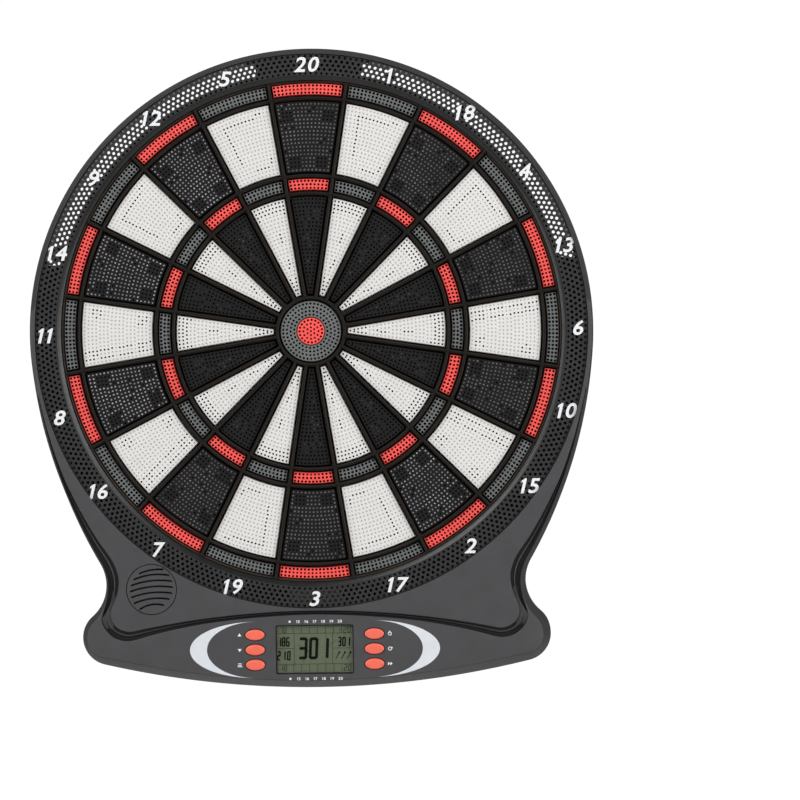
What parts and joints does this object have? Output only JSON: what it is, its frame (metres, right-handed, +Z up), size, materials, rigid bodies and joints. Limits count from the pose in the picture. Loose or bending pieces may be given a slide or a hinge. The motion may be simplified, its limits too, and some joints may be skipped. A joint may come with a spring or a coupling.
{
  "type": "electronic dartboard",
  "caption": "Wall-hung soft-tip dartboard: perforated score segments in a web, number ring, display panel with buttons, back cover with keyholes.",
  "frame": {"origin": "on the wall face, straight behind the centre of the bull's eye", "axes": "+Y into the wall, the board faces -Y, +Z up through the number 20, +X to the right as seen by a player"},
  "size_m": [0.3786, 0.03, 0.4293],
  "materials": {
    "charcoal_plastic": "satin moulded plastic with a fine grain",
    "black_plastic": "satin moulded plastic",
    "black_segment": "satin moulded plastic, perforated",
    "white_segment": "satin moulded plastic, perforated",
    "red_segment": "satin moulded plastic, perforated",
    "grey_segment": "satin moulded plastic, perforated",
    "coral_button": "soft satin rubber",
    "lcd_glass": "reflective green display",
    "foam": "open-cell foam",
    "membrane_film": "printed film",
    "circuit_laminate": "solder mask",
    "speaker_cone": "paper cone in a steel basket",
    "battery_wrap": "printed sleeve",
    "screw_steel": "zinc plated"
  },
  "bodies": {
    "root": {"front_housing": "charcoal_plastic", "number_ring": "black_plastic", "spider": "black_plastic", "back_cover": "black_plastic", "foam_sheet": "foam", "sensor_membrane": "membrane_film", "circuit_board": "circuit_laminate", "lcd_display": "lcd_glass", "speaker": "speaker_cone", "batteries": "battery_wrap", "case_screws": "screw_steel"},
    "singles_20": {"singles_20": "black_segment"},
    "double_triple_20": {"double_triple_20": "red_segment"},
    "singles_1": {"singles_1": "white_segment"},
    "double_triple_1": {"double_triple_1": "grey_segment"},
    "singles_18": {"singles_18": "black_segment"},
    "double_triple_18": {"double_triple_18": "red_segment"},
    "singles_4": {"singles_4": "white_segment"},
    "double_triple_4": {"double_triple_4": "grey_segment"},
    "singles_13": {"singles_13": "black_segment"},
    "double_triple_13": {"double_triple_13": "red_segment"},
    "singles_6": {"singles_6": "white_segment"},
    "double_triple_6": {"double_triple_6": "grey_segment"},
    "singles_10": {"singles_10": "black_segment"},
    "double_triple_10": {"double_triple_10": "red_segment"},
    "singles_15": {"singles_15": "white_segment"},
    "double_triple_15": {"double_triple_15": "grey_segment"},
    "singles_2": {"singles_2": "black_segment"},
    "double_triple_2": {"double_triple_2": "red_segment"},
    "singles_17": {"singles_17": "white_segment"},
    "double_triple_17": {"double_triple_17": "grey_segment"},
    "singles_3": {"singles_3": "black_segment"},
    "double_triple_3": {"double_triple_3": "red_segment"},
    "singles_19": {"singles_19": "white_segment"},
    "double_triple_19": {"double_triple_19": "grey_segment"},
    "singles_7": {"singles_7": "black_segment"},
    "double_triple_7": {"double_triple_7": "red_segment"},
    "singles_16": {"singles_16": "white_segment"},
    "double_triple_16": {"double_triple_16": "grey_segment"},
    "singles_8": {"singles_8": "black_segment"},
    "double_triple_8": {"double_triple_8": "red_segment"},
    "singles_11": {"singles_11": "white_segment"},
    "double_triple_11": {"double_triple_11": "grey_segment"},
    "singles_14": {"singles_14": "black_segment"},
    "double_triple_14": {"double_triple_14": "red_segment"},
    "singles_9": {"singles_9": "white_segment"},
    "double_triple_9": {"double_triple_9": "grey_segment"},
    "singles_12": {"singles_12": "black_segment"},
    "double_triple_12": {"double_triple_12": "red_segment"},
    "singles_5": {"singles_5": "white_segment"},
    "double_triple_5": {"double_triple_5": "grey_segment"},
    "outer_bull": {"outer_bull": "grey_segment"},
    "inner_bull": {"inner_bull": "red_segment"},
    "button_up": {"button_up": "coral_button"},
    "button_down": {"button_down": "coral_button"},
    "button_select": {"button_select": "coral_button"},
    "button_power": {"button_power": "coral_button"},
    "button_reset": {"button_reset": "coral_button"},
    "button_next": {"button_next": "coral_button"},
    "battery_door": {"battery_door": "black_plastic"}
  },
  "joints": [
    {"name": "singles_20_press", "type": "slide", "parent": "root", "child": "singles_20", "axis": [0, 1, 0], "range_m": [0, 0.0012], "stiffness_N_per_m": 1000},
    {"name": "double_triple_20_press", "type": "slide", "parent": "root", "child": "double_triple_20", "axis": [0, 1, 0], "range_m": [0, 0.0012], "stiffness_N_per_m": 1000},
    {"name": "singles_1_press", "type": "slide", "parent": "root", "child": "singles_1", "axis": [0, 1, 0], "range_m": [0, 0.0012], "stiffness_N_per_m": 1000},
    {"name": "double_triple_1_press", "type": "slide", "parent": "root", "child": "double_triple_1", "axis": [0, 1, 0], "range_m": [0, 0.0012], "stiffness_N_per_m": 1000},
    {"name": "singles_18_press", "type": "slide", "parent": "root", "child": "singles_18", "axis": [0, 1, 0], "range_m": [0, 0.0012], "stiffness_N_per_m": 1000},
    {"name": "double_triple_18_press", "type": "slide", "parent": "root", "child": "double_triple_18", "axis": [0, 1, 0], "range_m": [0, 0.0012], "stiffness_N_per_m": 1000},
    {"name": "singles_4_press", "type": "slide", "parent": "root", "child": "singles_4", "axis": [0, 1, 0], "range_m": [0, 0.0012], "stiffness_N_per_m": 1000},
    {"name": "double_triple_4_press", "type": "slide", "parent": "root", "child": "double_triple_4", "axis": [0, 1, 0], "range_m": [0, 0.0012], "stiffness_N_per_m": 1000},
    {"name": "singles_13_press", "type": "slide", "parent": "root", "child": "singles_13", "axis": [0, 1, 0], "range_m": [0, 0.0012], "stiffness_N_per_m": 1000},
    {"name": "double_triple_13_press", "type": "slide", "parent": "root", "child": "double_triple_13", "axis": [0, 1, 0], "range_m": [0, 0.0012], "stiffness_N_per_m": 1000},
    {"name": "singles_6_press", "type": "slide", "parent": "root", "child": "singles_6", "axis": [0, 1, 0], "range_m": [0, 0.0012], "stiffness_N_per_m": 1000},
    {"name": "double_triple_6_press", "type": "slide", "parent": "root", "child": "double_triple_6", "axis": [0, 1, 0], "range_m": [0, 0.0012], "stiffness_N_per_m": 1000},
    {"name": "singles_10_press", "type": "slide", "parent": "root", "child": "singles_10", "axis": [0, 1, 0], "range_m": [0, 0.0012], "stiffness_N_per_m": 1000},
    {"name": "double_triple_10_press", "type": "slide", "parent": "root", "child": "double_triple_10", "axis": [0, 1, 0], "range_m": [0, 0.0012], "stiffness_N_per_m": 1000},
    {"name": "singles_15_press", "type": "slide", "parent": "root", "child": "singles_15", "axis": [0, 1, 0], "range_m": [0, 0.0012], "stiffness_N_per_m": 1000},
    {"name": "double_triple_15_press", "type": "slide", "parent": "root", "child": "double_triple_15", "axis": [0, 1, 0], "range_m": [0, 0.0012], "stiffness_N_per_m": 1000},
    {"name": "singles_2_press", "type": "slide", "parent": "root", "child": "singles_2", "axis": [0, 1, 0], "range_m": [0, 0.0012], "stiffness_N_per_m": 1000},
    {"name": "double_triple_2_press", "type": "slide", "parent": "root", "child": "double_triple_2", "axis": [0, 1, 0], "range_m": [0, 0.0012], "stiffness_N_per_m": 1000},
    {"name": "singles_17_press", "type": "slide", "parent": "root", "child": "singles_17", "axis": [0, 1, 0], "range_m": [0, 0.0012], "stiffness_N_per_m": 1000},
    {"name": "double_triple_17_press", "type": "slide", "parent": "root", "child": "double_triple_17", "axis": [0, 1, 0], "range_m": [0, 0.0012], "stiffness_N_per_m": 1000},
    {"name": "singles_3_press", "type": "slide", "parent": "root", "child": "singles_3", "axis": [0, 1, 0], "range_m": [0, 0.0012], "stiffness_N_per_m": 1000},
    {"name": "double_triple_3_press", "type": "slide", "parent": "root", "child": "double_triple_3", "axis": [0, 1, 0], "range_m": [0, 0.0012], "stiffness_N_per_m": 1000},
    {"name": "singles_19_press", "type": "slide", "parent": "root", "child": "singles_19", "axis": [0, 1, 0], "range_m": [0, 0.0012], "stiffness_N_per_m": 1000},
    {"name": "double_triple_19_press", "type": "slide", "parent": "root", "child": "double_triple_19", "axis": [0, 1, 0], "range_m": [0, 0.0012], "stiffness_N_per_m": 1000},
    {"name": "singles_7_press", "type": "slide", "parent": "root", "child": "singles_7", "axis": [0, 1, 0], "range_m": [0, 0.0012], "stiffness_N_per_m": 1000},
    {"name": "double_triple_7_press", "type": "slide", "parent": "root", "child": "double_triple_7", "axis": [0, 1, 0], "range_m": [0, 0.0012], "stiffness_N_per_m": 1000},
    {"name": "singles_16_press", "type": "slide", "parent": "root", "child": "singles_16", "axis": [0, 1, 0], "range_m": [0, 0.0012], "stiffness_N_per_m": 1000},
    {"name": "double_triple_16_press", "type": "slide", "parent": "root", "child": "double_triple_16", "axis": [0, 1, 0], "range_m": [0, 0.0012], "stiffness_N_per_m": 1000},
    {"name": "singles_8_press", "type": "slide", "parent": "root", "child": "singles_8", "axis": [0, 1, 0], "range_m": [0, 0.0012], "stiffness_N_per_m": 1000},
    {"name": "double_triple_8_press", "type": "slide", "parent": "root", "child": "double_triple_8", "axis": [0, 1, 0], "range_m": [0, 0.0012], "stiffness_N_per_m": 1000},
    {"name": "singles_11_press", "type": "slide", "parent": "root", "child": "singles_11", "axis": [0, 1, 0], "range_m": [0, 0.0012], "stiffness_N_per_m": 1000},
    {"name": "double_triple_11_press", "type": "slide", "parent": "root", "child": "double_triple_11", "axis": [0, 1, 0], "range_m": [0, 0.0012], "stiffness_N_per_m": 1000},
    {"name": "singles_14_press", "type": "slide", "parent": "root", "child": "singles_14", "axis": [0, 1, 0], "range_m": [0, 0.0012], "stiffness_N_per_m": 1000},
    {"name": "double_triple_14_press", "type": "slide", "parent": "root", "child": "double_triple_14", "axis": [0, 1, 0], "range_m": [0, 0.0012], "stiffness_N_per_m": 1000},
    {"name": "singles_9_press", "type": "slide", "parent": "root", "child": "singles_9", "axis": [0, 1, 0], "range_m": [0, 0.0012], "stiffness_N_per_m": 1000},
    {"name": "double_triple_9_press", "type": "slide", "parent": "root", "child": "double_triple_9", "axis": [0, 1, 0], "range_m": [0, 0.0012], "stiffness_N_per_m": 1000},
    {"name": "singles_12_press", "type": "slide", "parent": "root", "child": "singles_12", "axis": [0, 1, 0], "range_m": [0, 0.0012], "stiffness_N_per_m": 1000},
    {"name": "double_triple_12_press", "type": "slide", "parent": "root", "child": "double_triple_12", "axis": [0, 1, 0], "range_m": [0, 0.0012], "stiffness_N_per_m": 1000},
    {"name": "singles_5_press", "type": "slide", "parent": "root", "child": "singles_5", "axis": [0, 1, 0], "range_m": [0, 0.0012], "stiffness_N_per_m": 1000},
    {"name": "double_triple_5_press", "type": "slide", "parent": "root", "child": "double_triple_5", "axis": [0, 1, 0], "range_m": [0, 0.0012], "stiffness_N_per_m": 1000},
    {"name": "outer_bull_press", "type": "slide", "parent": "root", "child": "outer_bull", "axis": [0, 1, 0], "range_m": [0, 0.0012], "stiffness_N_per_m": 1000},
    {"name": "inner_bull_press", "type": "slide", "parent": "root", "child": "inner_bull", "axis": [0, 1, 0], "range_m": [0, 0.0012], "stiffness_N_per_m": 1000},
    {"name": "button_up_press", "type": "slide", "parent": "root", "child": "button_up", "axis": [0, 1, 0], "range_m": [0, 0.0012], "stiffness_N_per_m": 400},
    {"name": "button_down_press", "type": "slide", "parent": "root", "child": "button_down", "axis": [0, 1, 0], "range_m": [0, 0.0012], "stiffness_N_per_m": 400},
    {"name": "button_select_press", "type": "slide", "parent": "root", "child": "button_select", "axis": [0, 1, 0], "range_m": [0, 0.0012], "stiffness_N_per_m": 400},
    {"name": "button_power_press", "type": "slide", "parent": "root", "child": "button_power", "axis": [0, 1, 0], "range_m": [0, 0.0012], "stiffness_N_per_m": 400},
    {"name": "button_reset_press", "type": "slide", "parent": "root", "child": "button_reset", "axis": [0, 1, 0], "range_m": [0, 0.0012], "stiffness_N_per_m": 400},
    {"name": "button_next_press", "type": "slide", "parent": "root", "child": "button_next", "axis": [0, 1, 0], "range_m": [0, 0.0012], "stiffness_N_per_m": 400},
    {"name": "battery_door_lift", "type": "slide", "parent": "root", "child": "battery_door", "axis": [0, 1, 0], "range_m": [0, 0.02]}
  ]
}
